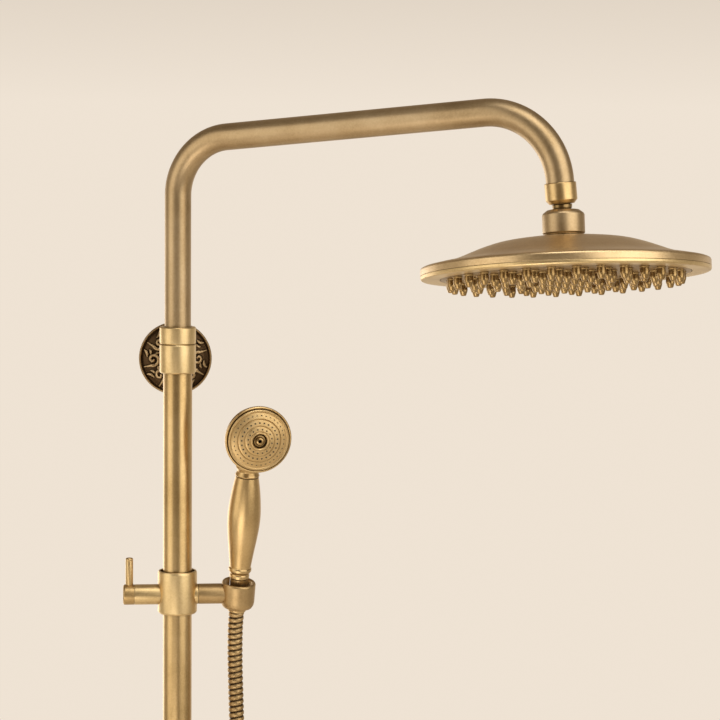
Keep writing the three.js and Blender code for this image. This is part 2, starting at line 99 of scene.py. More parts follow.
# ---------------------------------------------------------------- hose route, in metres
def centripetal(points, per_span):
    """A centripetal Catmull-Rom line through the points."""
    p = [np.array(q, float) for q in points]
    p = [2 * p[0] - p[1], *p, 2 * p[-1] - p[-2]]
    out = []
    for i in range(1, len(p) - 2):
        a, b, c, d = p[i - 1 : i + 3]
        t0 = 0.0
        t1 = t0 + np.linalg.norm(b - a) ** 0.5
        t2 = t1 + np.linalg.norm(c - b) ** 0.5
        t3 = t2 + np.linalg.norm(d - c) ** 0.5
        for t in np.linspace(t1, t2, per_span, endpoint=False):
            a1 = (t1 - t) / (t1 - t0) * a + (t - t0) / (t1 - t0) * b
            a2 = (t2 - t) / (t2 - t1) * b + (t - t1) / (t2 - t1) * c
            a3 = (t3 - t) / (t3 - t2) * c + (t - t2) / (t3 - t2) * d
            b1 = (t2 - t) / (t2 - t0) * a1 + (t - t0) / (t2 - t0) * a2
            b2 = (t3 - t) / (t3 - t1) * a2 + (t - t1) / (t3 - t1) * a3
            out.append((t2 - t) / (t2 - t1) * b1 + (t - t1) / (t2 - t1) * b2)
    out.append(p[-2])
    return np.array(out)


def evenly(line, step):
    """The line again, with points one step apart."""
    s = np.concatenate([[0], np.cumsum(np.linalg.norm(np.diff(line, axis=0), axis=1))])
    n = max(2, int(round(s[-1] / step)) + 1)
    at = np.linspace(0, s[-1], n)
    return np.stack([np.interp(at, s, line[:, k]) for k in range(3)], 1), at


LOOP = Vector((39, -92, -1290.2))
LOOP_SIDE = Vector((39, -32, 0)).normalized()
LOOP_R = 50.4
loop = [
    LOOP + LOOP_SIDE * (LOOP_R * math.cos(a)) - Z_UP * (LOOP_R * math.sin(a))
    for a in (math.pi * i / 12 for i in range(13))
]
route = [
    CUP - HANDSET_AXIS * 12.6, CUP - HANDSET_AXIS * 27, (44.8, -53, -230), (45.7, -53, -262),
    (47.5, -56.5, -330), (51, -68, -460), (57, -84, -630), (64, -99, -800), (70, -111, -960),
    (75, -119, -1120), (77.3, -122.6, -1210), (78, -123.8, -1262), *loop, (0, -60, -1262),
    (0, -60, -1210), (0, -60, -1120), (0, -60, -1053.6),
]
HOSE_STEP = 0.0005
hose_line, hose_at = evenly(centripetal([tuple(q) for q in route][::-1], 60) * MM, HOSE_STEP)


# ---------------------------------------------------------------- materials
def link(nt, a, b):
    nt.links.new(a, b)


def node(nt, kind, **values):
    made = nt.nodes.new(kind)
    for key, value in values.items():
        if key in made.inputs:
            made.inputs[key].default_value = value
        else:
            setattr(made, key, value)
    return made


def ramp(nt, fac, stops):
    made = nt.nodes.new("ShaderNodeValToRGB")
    e = made.color_ramp.elements
    while len(e) < len(stops):
        e.new(0.5)
    for el, (pos, col) in zip(e, stops):
        el.position, el.color = pos, (*col, 1)
    link(nt, fac, made.inputs["Fac"])
    return made.outputs["Color"]


# Colour of the darkened recesses: patina with painted shade.
PATINA_AND_SHADE = (0.045, 0.026, 0.010, 1)
# Colour of a relief's low ground: painted shade, with patina.
GROUND_PATINA_AND_SHADE = (0.072, 0.042, 0.02, 1)
LINE_DEPTH = 0.00006


def brass(
    name, dark, mid, light, rough, grain=(1, 1, 1), recess=0.004, patina_and_shade=0.55, bump=0.25, crest=False
):
    """Antique brass: blotchy tone, dark patina and painted shade in the recesses, and fine turned lines
    along one axis.

    With crest, a mesh's "crest" value, 0 to 1, takes the colour from a dark ground in the low parts to
    rubbed metal on the crests; the dark ground is painted shade, with patina.
    """
    m = bpy.data.materials.new(name)
    m.use_nodes = True
    nt = m.node_tree
    bsdf = nt.nodes["Principled BSDF"]
    bsdf.inputs["Metallic"].default_value = 1.0
    coord = nt.nodes.new("ShaderNodeTexCoord")
    cloud = node(nt, "ShaderNodeTexNoise", Scale=22.0, Detail=5.0, Roughness=0.6)
    link(nt, coord.outputs["Object"], cloud.inputs["Vector"])
    speck = node(nt, "ShaderNodeTexNoise", Scale=650.0, Detail=3.0, Roughness=0.7)
    link(nt, coord.outputs["Object"], speck.inputs["Vector"])
    both = node(nt, "ShaderNodeMix", data_type="FLOAT")
    both.inputs[0].default_value = 0.35
    link(nt, cloud.outputs["Fac"], both.inputs[2])
    link(nt, speck.outputs["Fac"], both.inputs[3])
    tone = ramp(nt, both.outputs[0], [(0.28, dark), (0.5, mid), (0.72, light)])
    # The darkening by ambient occlusion below is painted shade in the recesses, mixed with the brass's
    # patina.
    shade = node(nt, "ShaderNodeAmbientOcclusion", samples=8, Distance=recess)
    hollow = ramp(nt, shade.outputs["AO"], [(0.25, (1, 1, 1)), (0.85, (0, 0, 0))])
    patina_shade_mask = node(nt, "ShaderNodeMath", operation="MULTIPLY")
    patina_shade_mask.inputs[1].default_value = patina_and_shade
    link(nt, hollow, patina_shade_mask.inputs[0])
    colour = node(nt, "ShaderNodeMix", data_type="RGBA")
    colour.inputs[7].default_value = PATINA_AND_SHADE
    link(nt, patina_shade_mask.outputs[0], colour.inputs[0])
    link(nt, tone, colour.inputs[6])
    shaded_colour = colour.outputs[2]
    # The dark ground in the low parts of a relief is painted shade, with patina.
    if crest:
        crest_height = node(nt, "ShaderNodeAttribute", attribute_name="crest")
        stops = [(0.0, (0.0, 0.0, 0.0)), (0.45, (0.22, 0.22, 0.22)), (0.85, (1, 1, 1))]
        height = ramp(nt, crest_height.outputs["Fac"], stops)
        ground_shade_mix = node(nt, "ShaderNodeMix", data_type="RGBA")
        ground_shade_mix.inputs[6].default_value = GROUND_PATINA_AND_SHADE
        link(nt, height, ground_shade_mix.inputs[0])
        link(nt, shaded_colour, ground_shade_mix.inputs[7])
        shaded_colour = ground_shade_mix.outputs[2]
    link(nt, shaded_colour, bsdf.inputs["Base Color"])
    place = node(nt, "ShaderNodeMapping")
    place.inputs["Scale"].default_value = grain
    link(nt, coord.outputs["Object"], place.inputs["Vector"])
    lines = node(nt, "ShaderNodeTexNoise", Scale=60.0, Detail=4.0, Roughness=0.75)
    link(nt, place.outputs["Vector"], lines.inputs["Vector"])
    spread = node(nt, "ShaderNodeMapRange")
    spread.inputs["To Min"].default_value = rough - 0.07
    spread.inputs["To Max"].default_value = rough + 0.09
    link(nt, lines.outputs["Fac"], spread.inputs["Value"])
    link(nt, spread.outputs["Result"], bsdf.inputs["Roughness"])
    relief = node(nt, "ShaderNodeBump", Strength=bump, Distance=LINE_DEPTH)
    link(nt, lines.outputs["Fac"], relief.inputs["Height"])
    link(nt, relief.outputs["Normal"], bsdf.inputs["Normal"])
    return m


DARK, MID, LIGHT = (0.43, 0.28, 0.11), (0.61, 0.425, 0.195), (0.74, 0.545, 0.275)
UPRIGHT_LINES = (0.6, 0.6, 22)
SIDEWAYS_LINES = (22, 0.6, 0.6)
BRASS = brass("antique_brass", DARK, MID, LIGHT, 0.34)
ARM = brass("antique_brass_arm", (0.36, 0.245, 0.118), (0.49, 0.355, 0.195), (0.59, 0.445, 0.265), 0.40)
TURNED = brass("antique_brass_turned", DARK, MID, LIGHT, 0.32, grain=UPRIGHT_LINES, bump=0.5)
PALE = brass(
    "antique_brass_pale", (0.58, 0.41, 0.185), (0.77, 0.575, 0.29), (0.88, 0.69, 0.38), 0.38,
    grain=UPRIGHT_LINES, bump=0.5,
)
CROSSWISE = brass("antique_brass_crosswise", DARK, MID, LIGHT, 0.40, grain=SIDEWAYS_LINES, bump=0.5)
DUSKY = brass(
    "antique_brass_dusky", (0.33, 0.21, 0.085), (0.48, 0.33, 0.155), (0.60, 0.43, 0.215), 0.42,
    grain=UPRIGHT_LINES, bump=0.5,
)
DOME = brass(
    "antique_brass_dome", (0.48, 0.33, 0.165), (0.66, 0.485, 0.265), (0.78, 0.6, 0.345), 0.36,
    grain=UPRIGHT_LINES, bump=0.5,
)
FACE = brass("antique_brass_face", DARK, MID, LIGHT, 0.42, recess=0.0016, patina_and_shade=0.72)
# Strong darkening in the recesses, as at the nozzles' bases: painted shade, with patina.
SHINY = brass(
    "polished_brass", (0.26, 0.16, 0.06), (0.41, 0.27, 0.112), (0.55, 0.385, 0.18), 0.3,
    recess=0.008, patina_and_shade=0.95,
)
# A darker tone and strong darkening between the nozzles: painted shade, with patina.
PLATE = brass(
    "polished_brass_plate", (0.30, 0.20, 0.085), (0.42, 0.29, 0.14), (0.52, 0.38, 0.2), 0.4,
    recess=0.009, patina_and_shade=0.9,
)
# The hose's grooves take the dark ground: painted shade in the grooves.
HOSE = brass(
    "hose_brass", (0.34, 0.22, 0.095), (0.52, 0.36, 0.17), (0.66, 0.475, 0.24), 0.45,
    recess=0.0016, patina_and_shade=0.6, crest=True,
)
# The rosette's low ground is painted dark, patina with painted shade; its crests are rubbed metal.
ROSETTE = brass(
    "antique_brass_rosette", (0.36, 0.245, 0.12), (0.48, 0.34, 0.18), (0.62, 0.465, 0.27), 0.38,
    recess=0.004, patina_and_shade=0.97, crest=True,
)


def plain(name, low, high, rough, scale, metallic=0.0, bump=0.1):
    """A material of one stuff, with fine variation in its tone, roughness and surface."""
    m = bpy.data.materials.new(name)
    m.use_nodes = True
    nt = m.node_tree
    bsdf = nt.nodes["Principled BSDF"]
    bsdf.inputs["Metallic"].default_value = metallic
    coord = nt.nodes.new("ShaderNodeTexCoord")
    noise = node(nt, "ShaderNodeTexNoise", Scale=scale, Detail=4.0)
    link(nt, coord.outputs["Object"], noise.inputs["Vector"])
    link(nt, ramp(nt, noise.outputs["Fac"], [(0.3, low), (0.7, high)]), bsdf.inputs["Base Color"])
    spread = node(nt, "ShaderNodeMapRange")
    spread.inputs["To Min"].default_value = max(0.02, rough - 0.05)
    spread.inputs["To Max"].default_value = rough + 0.05
    link(nt, noise.outputs["Fac"], spread.inputs["Value"])
    link(nt, spread.outputs["Result"], bsdf.inputs["Roughness"])
    relief = node(nt, "ShaderNodeBump", Strength=bump, Distance=0.0001)
    link(nt, noise.outputs["Fac"], relief.inputs["Height"])
    link(nt, relief.outputs["Normal"], bsdf.inputs["Normal"])
    return m


STEEL = plain("steel", (0.42, 0.42, 0.41), (0.6, 0.6, 0.58), 0.35, 400, metallic=1.0)
RUBBER = plain("rubber_black", (0.012, 0.012, 0.012), (0.03, 0.029, 0.028), 0.75, 900)
NYLON = plain("nylon_white", (0.66, 0.63, 0.56), (0.76, 0.73, 0.66), 0.5, 500)
CERAMIC = plain("glazed_ceramic", (0.84, 0.82, 0.76), (0.9, 0.88, 0.83), 0.1, 120, bump=0.03)
CERAMIC.node_tree.nodes["Principled BSDF"].inputs["Coat Weight"].default_value = 0.5
RED = plain("enamel_red", (0.42, 0.03, 0.02), (0.55, 0.05, 0.03), 0.22, 200, bump=0.03)
BLUE = plain("enamel_blue", (0.02, 0.06, 0.3), (0.03, 0.1, 0.42), 0.22, 200, bump=0.03)
# Painted shade for the spray holes: dark discs where the holes are.
HOLE_SHADE = plain("painted_hole_shade", (0.02, 0.013, 0.006), (0.05, 0.032, 0.014), 0.6, 800)
SLOTS = {
    "antique_brass": BRASS, "polished_brass": SHINY, "hose_brass": HOSE, "rubber_black": RUBBER,
    "nylon_white": NYLON, "glazed_ceramic": CERAMIC, "steel": STEEL,
}
slot_of = {s["node"]: s["material_slot"] for s in frame["record"]["subparts"]}
for n, o in frame["nodes"].items():
    o.data.materials.clear()
    o.data.materials.append(SLOTS[slot_of[n]])


# ---------------------------------------------------------------- mesh helpers, all in mm
def rounded(profile, size, closed):
    """The profile with its corners rounded: each corner by size, or by a third of its shorter side."""
    n = len(profile)
    out = []
    for i, p in enumerate(profile):
        r = p[2] if len(p) > 2 else size
        p = np.array(p[:2], float)
        if (not closed and i in (0, n - 1)) or r <= 0:
            out.append(tuple(p))
            continue
        a = np.array(profile[(i - 1) % n][:2], float) - p
        b = np.array(profile[(i + 1) % n][:2], float) - p
        la, lb = np.linalg.norm(a), np.linalg.norm(b)
        bend = math.pi - math.acos(max(-1.0, min(1.0, float(a @ b) / (la * lb))))
        if bend < math.radians(4):
            out.append(tuple(p))
            continue
        cut = min(r * math.tan(bend / 2), la * 0.42, lb * 0.42)
        q0, q1 = p + a / la * cut, p + b / lb * cut
        steps = 2 if bend < 0.6 else 4
        for k in range(steps + 1):
            t = k / steps
            out.append(tuple((1 - t) ** 2 * q0 + 2 * t * (1 - t) * p + t * t * q1))
    return out


def smooth_line(points, per_span=6):
    """A smooth line through profile points."""
    flat = [(p[0], p[1], 0.0) for p in points]
    return [tuple(q[:2]) for q in centripetal(flat, per_span)]


def stand(verts, place, axis):
    q = Z_UP.rotation_difference(axis).to_matrix()
    return np.array(verts, float) @ np.array(q).T + np.array(place, float)


class Build:
    """Gathers surfaces into one mesh."""

    def __init__(self):
        self.verts, self.faces, self.mats, self.count = [], [], [], 0

    def add(self, verts, faces, mat=0):
        self.verts.append(np.array(verts, float))
        self.faces += [tuple(i + self.count for i in f) for f in faces]
        self.mats += [mat] * len(faces)
        self.count += len(verts)
        return self

    def lathe(
        self, profile, place=(0, 0, 0), axis=Z_UP, sides=96, closed=False, fillet=0.5, mat=0, wobble=None
    ):
        """Turns a profile about the axis. wobble(angle, radius, height) gives an uneven radius."""
        p = rounded(profile, fillet, closed)
        rows, verts, faces = [], [], []
        for r, z in p:
            if r < 1e-6:
                rows.append([len(verts)])
                verts.append((0, 0, z))
            else:
                rows.append(list(range(len(verts), len(verts) + sides)))
                for k in range(sides):
                    a = 2 * math.pi * k / sides
                    q = wobble(a, r, z) if wobble else r
                    verts.append((q * math.cos(a), q * math.sin(a), z))
        pairs = list(zip(rows, rows[1:] + rows[:1])) if closed else list(zip(rows, rows[1:]))
        for a, b in pairs:
            if len(a) == 1 and len(b) == 1:
                continue
            for k in range(sides):
                n = (k + 1) % sides
                if len(a) == 1:
                    faces.append((a[0], b[n], b[k]))
                elif len(b) == 1:
                    faces.append((a[k], a[n], b[0]))
                else:
                    faces.append((a[k], a[n], b[n], b[k]))
        return self.add(stand(verts, place, axis), faces, mat)

    def tube(self, line, radius, sides):
        """A tube along a line, with closed ends."""
        line = np.array(line, float)
        t = np.gradient(line, axis=0)
        t /= np.linalg.norm(t, axis=1)[:, None]
        side = np.array((0.0, 1.0, 0.0))
        verts, faces = [], []
        angles = np.arange(sides) * 2 * math.pi / sides
        for i, p in enumerate(line):
            side = side - t[i] * (side @ t[i])
            side /= np.linalg.norm(side)
            other = np.cross(t[i], side)
            ring = (radius * np.cos(angles))[:, None] * side
            verts.append(p + ring + (radius * np.sin(angles))[:, None] * other)
        for i in range(len(line) - 1):
            for k in range(sides):
                n = (k + 1) % sides
                faces.append((i * sides + k, i * sides + n, (i + 1) * sides + n, (i + 1) * sides + k))
        faces.append(tuple(range(sides))[::-1])
        faces.append(tuple(range((len(line) - 1) * sides, len(line) * sides)))
        return self.add(np.concatenate(verts), faces)

    def done(self, name, materials, body, nodes, slot="antique_brass", sharp=32):
        mesh = bpy.data.meshes.new(name)
        mesh.from_pydata((np.concatenate(self.verts) * MM).tolist(), [], self.faces)
        for m in materials if isinstance(materials, list) else [materials]:
            mesh.materials.append(m)
        mesh.polygons.foreach_set("material_index", self.mats)
        mesh.validate()
        bm_normals(mesh)
        mesh.shade_smooth()
        mesh.set_sharp_from_angle(angle=math.radians(sharp))
        o = bpy.data.objects.new(name, mesh)
        bpy.context.scene.collection.objects.link(o)
        if body:
            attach(o, body)
        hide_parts(*nodes)
        return o


def bm_normals(mesh):
    bm = bmesh.new()
    bm.from_mesh(mesh)
    bmesh.ops.recalc_face_normals(bm, faces=bm.faces)
    bm.to_mesh(mesh)
    bm.free()


def set_crest(mesh, heights):
    """Gives each point its height in the relief, 0 to 1, for the material to read."""
    values = np.array(heights, np.float32)
    mesh.attributes.new("crest", "FLOAT", "POINT").data.foreach_set("value", values)


def turned(
    name, profile, body, nodes=None, place=RISER, axis=Z_UP, mat=BRASS, slot="antique_brass", **kw
):
    """One turned ring or solid as a piece of its own, named as the CAD node it stands for."""
    closed = profile[0][0] > 0
    return Build().lathe(profile, place, axis, closed=closed, **kw).done(
        name + "_look", mat, body, nodes or [name], slot
    )


# ---------------------------------------------------------------- hose, in four lengths
RIB_PITCH = 4.45
GROOVE_R = 4.95
RIB_HEIGHT = 1.03
hose_mm = hose_line / MM
hose_s = hose_at / MM
tangent = np.gradient(hose_mm, axis=0)
tangent /= np.linalg.norm(tangent, axis=1)[:, None]
normals = np.zeros_like(hose_mm)
side = np.array((0.0, 1.0, 0.0))
for i, t in enumerate(tangent):
    side = side - t * (side @ t)
    side /= np.linalg.norm(side)
    normals[i] = side
across = np.cross(tangent, normals)
HOSE_SIDES = 36
ROWS_A_TURN = 9
PATH_EVERY = 8
around = np.arange(HOSE_SIDES) * 2 * math.pi / HOSE_SIDES


def rib(s):
    """The spiral's height round the hose, 0 to 1: a rounded band with a narrow groove beside it."""
    turn_at = (s / RIB_PITCH - around / (2 * math.pi)) % 1.0
    return np.sqrt(np.clip(1 - ((turn_at - 0.5) / 0.42) ** 2, 0, 1))


def along_hose(values, s):
    return np.stack([np.interp(s, hose_s, values[:, k]) for k in range(3)], 1)


def hose_piece(name, first, last):
    """A length of the hose. Its rows of points follow the spiral, and its ends are flat."""
    s_first, s_last = hose_s[first], hose_s[last]
    step = RIB_PITCH / ROWS_A_TURN
    rows = range(math.floor(s_first / step) - ROWS_A_TURN, math.ceil(s_last / step) + 1)
    verts, crest = [], []
    for i in rows:
        s = np.clip(step * i + RIB_PITCH * around / (2 * math.pi), s_first, s_last)
        high = rib(s)
        out = along_hose(normals, s) * np.cos(around)[:, None]
        out = out + along_hose(across, s) * np.sin(around)[:, None]
        verts.append(along_hose(hose_mm, s) + out * (GROOVE_R + RIB_HEIGHT * high)[:, None])
        # The rib's height for the material: low in the grooves, which it paints dark as shade.
        crest.append(high)
    n_rows = len(rows)
    faces = []
    for r in range(n_rows - 1):
        for k in range(HOSE_SIDES):
            a, b = r * HOSE_SIDES + k, (r + 1) * HOSE_SIDES + k
            if k < HOSE_SIDES - 1:
                faces.append((a, a + 1, b + 1, b))
            else:
                c = min(r + ROWS_A_TURN, n_rows - 1) * HOSE_SIDES
                d = min(r + ROWS_A_TURN + 1, n_rows - 1) * HOSE_SIDES
                faces.append((a, c, d, b) if c != d else (a, c, b))
    faces.append(tuple(range(HOSE_SIDES))[::-1])
    faces.append(tuple((n_rows - 1) * HOSE_SIDES + k for k in range(HOSE_SIDES)))
    piece = Build().add(np.concatenate(verts), faces)
    piece = piece.done(name, HOSE, None, ["hose"], "hose_brass", sharp=70)
    set_crest(piece.data, np.concatenate(crest))
    bm = bmesh.new()
    bm.from_mesh(piece.data)
    bmesh.ops.remove_doubles(bm, verts=bm.verts, dist=1e-7)
    bmesh.ops.recalc_face_normals(bm, faces=bm.faces)
    bm.to_mesh(piece.data)
    bm.free()
    path = [tuple(float(v) for v in hose_line[i]) for i in (*range(first, last, PATH_EVERY), last)]
    length = float(hose_at[last] - hose_at[first])
    return piece, path, length


def row_at(z):
    """The line's row at this height, on its last way up."""
    return max(i for i, p in enumerate(hose_mm) if p[2] < z)


CUT_HEIGHTS = (-430, -345, -265.5)
cuts = [0, *(row_at(z) for z in CUT_HEIGHTS), len(hose_mm) - 1]
ends = [tuple(float(v) for v in hose_line[i]) for i in cuts]
BLENDS = [
    ("column", "slide_bush", (0, -0.06, -1.054), (0.1711, -0.2004, -0.9854)),
    ("slide_bush", "slider", ends[1], ends[2]),
    ("slider", "holder", ends[2], ends[3]),
    ("holder", "hose_end", ends[3], ends[4]),
]


# ---------------------------------------------------------------- the hose's end nuts, then its cords
def hexed(size):
    """The radius of a hexagon with this corner radius, cut by the turned profile."""

    def radius(a, r, _):
        flat = (a % (math.pi / 3)) - math.pi / 6
        return min(r, size * math.cos(math.pi / 6) / math.cos(flat))

    return radius


def grip(depth, count):
    """Fine grooves along a nut's outside."""

    def radius(a, r, _):
        return r - depth * max(0.0, math.cos(a * count)) ** 6 if r > 11.9 else r

    return radius


nut_bottom = turned(
    "hose_nut_bottom",
    [
        (6.35, -66), (7.4, -66), (8, -56), (12.4, -50), (12.4, -34.2), (11.8, -33.4), (10, -33.4),
        (10, -48.6), (3.6, -48.6), (3.6, -53), (6.35, -53),
    ],
    "column", place=MIXER, sides=144, fillet=0.7, wobble=grip(0.35, 24),
)
cone_nut = turned(
    "hose_cone_nut",
    [
        (6.35, -14.2), (6.7, -14.2), (6.95, -13.6), (7.2, -10.6), (9.7, -2.6), (9.7, 3.2), (9, 4),
        (5.75, 4), (5.75, -9), (3.4, -9), (3.4, -12), (6.35, -12),
    ],
    "hose_end", place=CUP, axis=HANDSET_AXIS, fillet=0.7,
)
for k, (a, b, start, end) in enumerate(BLENDS):
    piece, path, length = hose_piece(f"hose_{k + 1}_look", cuts[k], cuts[k + 1])
    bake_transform(piece)

# ---------------------------------------------------------------- wall bracket
LOBES = 8
TALL = 2.3


def scroll():
    """One leaf's scroll, as (across, radius, width): a stem from the rim that curls round an eye."""
    stem = [(6.6 - 1.5 * t, 24.9 - 6.6 * t, 0.7 + 0.9 * t) for t in np.linspace(0, 1, 18)]
    curl = []
    for t in np.linspace(0, 1, 60):
        reach = 4.4 * (1 - t) ** 0.9 + 0.7
        a = 0.15 - 2.3 * math.pi * t
        curl.append((0.4 + reach * math.cos(a), 17.6 + reach * math.sin(a), 1.6 - 0.3 * t))
    return stem + curl


def blade(start, end, sag, width):
    """A leaf blade from start to end that swells in the middle and bows by sag."""
    along = np.array(end, float) - start
    bow = np.array((-along[1], along[0])) / np.linalg.norm(along) * sag
    return [
        (*(start + along * t + bow * math.sin(math.pi * t)), 0.35 + width * math.sin(math.pi * t) ** 0.7)
        for t in np.linspace(0, 1, 16)
    ]


curves = [
    (np.array(scroll()), TALL),
    (np.array(blade((-1.2, 22.2), (-7.2, 24.6), 0.9, 1.25)), 2.0),
    (np.array(blade((-3.6, 19.6), (-7.4, 20.4), 0.6, 1.1)), 1.8),
    (np.array(blade((-3.4, 15.6), (-5.2, 11.4), -0.7, 1.1)), 1.7),
    (np.array(blade((0.4, 12.4), (-2.0, 9.4), 0.5, 1.0)), 1.6),
    (np.array(blade((3.2, 13.2), (2.6, 9.4), -0.5, 1.0)), 1.6),
]


def relief(r, a):
    sector = 2 * math.pi / LOBES
    off = (a + sector / 2) % sector - sector / 2
    across_mm, along = r * math.sin(off), r * math.cos(off)
    high = 0.0
    for points, tall in curves:
        far = np.hypot(points[:, 0] - across_mm, points[:, 1] - along) / points[:, 2]
        d = float(np.min(far))
        if d < 1:
            high = max(high, tall * math.sqrt(1 - d * d))
    return high


def rosette():
    sides = 640
    base = [(9.0, 7.6), (14, 7.2), (19, 6.7), (22.4, 5.0), (25, 3.2)]
    radii = list(np.linspace(9.0, 25.4, 76))
    rows = [[(7.6, 6.8)] * sides, [(7.6, 8.6)] * sides, [(8.6, 8.4)] * sides]
    sector_steps = sides // LOBES
    # Relief heights for the material: the low ground is painted dark, patina with painted shade.
    crest = [0.1] * (2 * sides) + [0.5] * sides
    for r in radii:
        ground = float(np.interp(r, [b[0] for b in base], [b[1] for b in base]))
        one = [relief(r, 2 * math.pi * k / sides) for k in range(sector_steps)]
        rows.append([(r, ground + h) for h in one * LOBES])
        crest += [min(1.0, h / TALL) for h in one * LOBES]
    edge = [(25.8, 2.7), (26.3, 2.7), (26.9, 4.0), (27.7, 4.6), (28.5, 3.6), (28.5, 0.2), (22.5, 0.2)]
    # The groove inside the rim gets no height and comes out dark: painted shade, with patina.
    for r, h in rounded(edge, 0.5, False):
        rows.append([(r, h)] * sides)
        crest += [0.0 if r < 26.6 else 0.75] * sides
    rows += [[(22.5, 4.2)] * sides, [(19.6, 6.1)] * sides, [(12.0, 6.6)] * sides]
    crest += [0.0] * (3 * sides)
    verts = [
        (q[0] * math.cos(2 * math.pi * k / sides), q[0] * math.sin(2 * math.pi * k / sides), q[1])
        for row in rows
        for k, q in enumerate(row)
    ]
    faces = []
    for j in range(len(rows)):
        m = (j + 1) % len(rows)
        for k in range(sides):
            n = (k + 1) % sides
            faces.append((j * sides + k, j * sides + n, m * sides + n, m * sides + k))
    o = Build().add(stand(verts, (0, 0, 0), OUT), faces).done(
        "bracket_rosette_look", ROSETTE, "column", ["bracket_rosette"], sharp=50
    )
    set_crest(o.data, crest)


rosette()
turned(
    "bracket_arm",
    [
        (0, 1.4), (4, 1.4), (4, 4.3), (7, 4.3), (7, 9.4), (9, 10.2), (9, 12.2), (7, 13.4), (7, 48.4),
        (0, 48.4),
    ],
    "column", place=(0, 0, 0), axis=OUT, fillet=0.4,
)
turned(
    "bracket_collar",
    [
        (11.35, -6), (13, -6), (13.75, -5.2), (13.75, 15.3), (13.2, 16), (12.6, 16), (12.6, 21),
        (11.35, 21),
    ],
    "column", mat=PALE, fillet=0.35,
)
turned(
    "collar_nut",
    [
        (12.95, 16.3), (13.3, 16.3), (13.75, 16.9), (13.75, 28.4), (13, 29.2), (10.6, 29.2), (10.6, 26),
        (12.95, 26),
    ],
    "clamp_nut", mat=PALE, fillet=0.35,
)
turned(
    "lower_riser_tube", [(10.25, -964), (11, -964), (11, 20), (10.25, 20)], "column", mat=TURNED, fillet=0.2
)


# ---------------------------------------------------------------- arm
def bend(corner, before, after, radius, steps):
    angle = before.angle(after)
    start = corner - before * (radius * math.tan(angle / 2))
    inwards = (after - before * after.dot(before)).normalized()
    centre = start + inwards * radius
    return [
        centre - inwards * (radius * math.cos(angle * t)) + before * (radius * math.sin(angle * t))
        for t in (i / steps for i in range(steps + 1))
    ]


ALONG = (CORNER_2 - CORNER_1).normalized()
arm_line = [in_plane(0, -250), in_plane(0, -100), in_plane(0, 0), in_plane(0, 60)]
arm_line += bend(CORNER_1, Z_UP, ALONG, 45, 30)
arm_line += [CORNER_1.lerp(CORNER_2, f) for f in (0.3, 0.45, 0.6, 0.7)]
arm_line += bend(CORNER_2, ALONG, LEG, 53, 34)
arm_line += [CORNER_2 + LEG * t for t in (52, 60, 65)]
ARM_R = 10.0
arm_tube = Build().tube([tuple(p) for p in arm_line], ARM_R, sides=80)
arm_tube.done("arm_tube_look", ARM, "arm", ["arm_tube"])
turned(
    "arm_ferrule",
    [
        (6.4, 12.5), (8.8, 12.5), (11.2, 15.3), (11.2, 27), (10.8, 27.5), (10.3, 27.5),
        (10.3, 15.9), (6.4, 15.9),
    ],
    "arm", place=BALL, axis=-LEG, fillet=0.4,
)
BALL_R = 9.3
ball = [(BALL_R * math.cos(a), BALL_R * math.sin(a), 0) for a in map(math.radians, range(-70, 57, 7))]
turned(
    "swivel_ball",
    [(3, -8.74), *ball, (5.2, 8.4), (6.9, 9.4), (7.2, 12.2), (6, 12.2), (6, 25), (3, 25)], "arm",
    place=BALL, axis=-LEG, mat=SHINY, slot="polished_brass", fillet=0.3,
)

# ---------------------------------------------------------------- rain head
ON_HEAD = dict(place=HEAD, axis=HEAD_AXIS)
turned(
    "swivel_nut",
    [
        (10.65, 24.4), (14, 24.4), (14.2, 25.4), (15, 26.2), (15, 39), (14.2, 40.3), (11.4, 42.4),
        (10.3, 42.4), (9.3, 38.8), (10.65, 38.8),
    ],
    "rain_head", mat=ARM, fillet=0.8, **ON_HEAD,
)
dome_top = smooth_line(
    [
        (10.25, 24), (20, 23.6), (33, 22.3), (47, 20.2), (58, 17.1), (68, 13.4), (76, 10.3), (83, 8.2),
        (92, 6.5),
    ],
    8,
)
turned(
    "head_dome",
    [
        (10.25, 27), *[(r, z, 0) for r, z in dome_top], (99.6, 4.9, 1), (101.5, 4.1, 1), (102, 3, 0.8),
        (102, -1.2), (100.2, -1.2), (100.2, 3.3), (83, 6.6), (69.5, 11.5), (46.5, 18.6), (20, 22),
        (7.6, 22.2), (7.6, 27),
    ],
    "rain_head", mat=DOME, sides=192, fillet=0.3, **ON_HEAD,
)
turned(
    "head_rim_ring",
    [
        (88.4, -1.3), (102, -1.3), (102, -3), (101.6, -3.8), (100.8, -4.2), (88.4, -4.2),
    ],
    "rain_head", mat=PALE, sides=192, fillet=0.3, **ON_HEAD,
)
plate = Build().lathe(
    [(0, -4.2), (88, -4.2), (88, -1.3), (0, -1.3)], HEAD, HEAD_AXIS, sides=128, fillet=0.3
)
turn_head = Z_UP.rotation_difference(HEAD_AXIS).to_matrix()
NOZZLE = [
    (0, -3.6), (3.6, -3.6), (3.6, -4.5), (3.05, -5.2), (3.2, -8.6), (2.95, -9.8), (2.1, -12.3),
    (1.6, -12.9), (1.0, -12.9), (0.8, -11.6), (0, -11.2),
]
NOZZLE_RINGS = 6
RING_STEP = 16.2
for k in range(NOZZLE_RINGS):
    in_ring = max(1, 6 * k)
    for i in range(in_ring):
        a = 2 * math.pi * i / in_ring
        spot = HEAD + turn_head @ Vector((RING_STEP * k * math.cos(a), RING_STEP * k * math.sin(a), 0))
        plate.lathe(NOZZLE, spot, HEAD_AXIS, sides=20, fillet=0.4, mat=1)
plate.done("nozzle_plate_look", [PLATE, SHINY], "rain_head", ["nozzle_plate"], "polished_brass", sharp=40)

